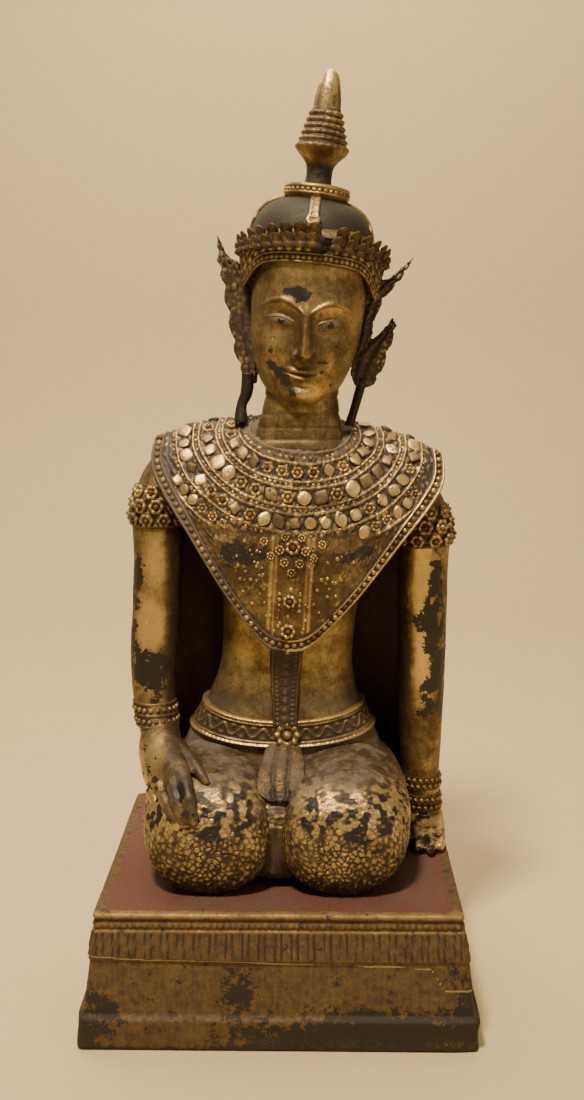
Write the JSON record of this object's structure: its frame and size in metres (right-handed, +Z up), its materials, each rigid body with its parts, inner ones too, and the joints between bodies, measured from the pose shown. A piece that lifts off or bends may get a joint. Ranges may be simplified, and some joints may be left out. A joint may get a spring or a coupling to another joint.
{
  "type": "thepphanom angel statue",
  "caption": "Kneeling crowned angel in carved, lacquered and gilded wood, in a jewelled collar and mantle, one hand on the thigh, on a stepped plinth.",
  "frame": {"origin": "middle of the plinth's underside", "axes": "+Z up, the figure faces -Y, +X towards the figure's left hand"},
  "size_m": [0.26, 0.236, 0.6244],
  "materials": {
    "gilt_lacquer": "gold leaf worn through to black lacquer on carved wood",
    "gilt_finial": "burnished gold leaf over dark lacquer on turned wood",
    "plinth_lacquer": "red lacquer on top, dulled gold leaf and black lacquer on the sides"
  },
  "bodies": {
    "root": {"plinth": "plinth_lacquer", "figure": "gilt_lacquer", "crown_finial": "gilt_finial"}
  },
  "joints": []
}
